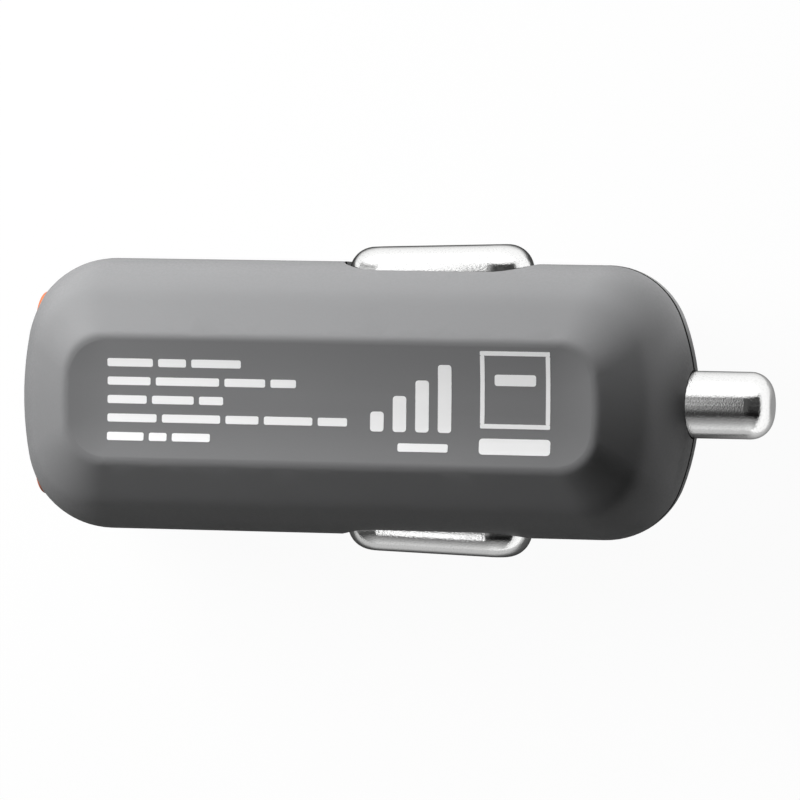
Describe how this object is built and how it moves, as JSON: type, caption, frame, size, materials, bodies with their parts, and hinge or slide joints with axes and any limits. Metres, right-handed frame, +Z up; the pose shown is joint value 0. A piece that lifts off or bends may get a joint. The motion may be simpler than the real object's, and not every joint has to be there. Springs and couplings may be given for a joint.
{
  "type": "car usb charger plug",
  "caption": "Grey pillow-shaped car charger plug with dished panels, a sprung centre tip, sprung side contacts and a USB-A port in an orange surround",
  "frame": {"origin": "on the plug axis at the outermost point of the case's nose, where the tip comes out", "axes": "+X out of the nose along the plug axis into the socket, +Y to the side contact on the left looking forward, +Z up out of the dished panel seen in the picture"},
  "size_m": [0.0578, 0.0238, 0.0178],
  "materials": {
    "case": "fine matt texture",
    "bezel": "satin orange",
    "contact_plate": "bright nickel plate",
    "tip_plate": "bright nickel plate",
    "shield": "tin plated sheet",
    "insulator": "black moulding",
    "gold": "flash gold",
    "board": "solder mask",
    "spring_wire": "drawn wire",
    "spring_strip": "phosphor bronze strip",
    "terminal": "tinned brass",
    "can": "drawn can",
    "ferrite": "moulded ferrite",
    "chip": "moulded epoxy",
    "fuse": "plain ceramic",
    "chip_capacitor": "tan ceramic",
    "chip_resistor": "dark film on ceramic"
  },
  "bodies": {
    "housing": {"upper_shell": "case", "lower_shell": "case", "usb_bezel": "bezel", "usb_shield": "shield", "usb_insulator": "insulator", "usb_contacts": "gold", "circuit_board": "board", "tip_spring": "spring_wire", "spring_terminal": "terminal", "ground_spring_left": "spring_strip", "ground_spring_right": "spring_strip", "input_capacitor": "can", "output_capacitor": "can", "power_inductor": "ferrite", "buck_controller": "chip", "port_controller": "chip", "rectifier_diode": "chip", "fuse": "fuse", "chip_capacitors": "chip_capacitor", "chip_resistors": "chip_resistor"},
    "tip": {"tip_pin": "tip_plate"},
    "contact_left": {"contact_left": "contact_plate"},
    "contact_right": {"contact_right": "contact_plate"}
  },
  "joints": [
    {"name": "tip_press", "type": "slide", "parent": "housing", "child": "tip", "axis": [-1, 0, 0], "range_m": [0, 0.003], "stiffness_N_per_m": 600, "deforming": ["tip_spring"]},
    {"name": "contact_left_press", "type": "slide", "parent": "housing", "child": "contact_left", "axis": [0, -1, 0], "range_m": [0, 0.00125], "stiffness_N_per_m": 1500, "deforming": ["ground_spring_left"]},
    {"name": "contact_right_press", "type": "slide", "parent": "housing", "child": "contact_right", "axis": [0, 1, 0], "range_m": [0, 0.00125], "stiffness_N_per_m": 1500, "deforming": ["ground_spring_right"]}
  ]
}
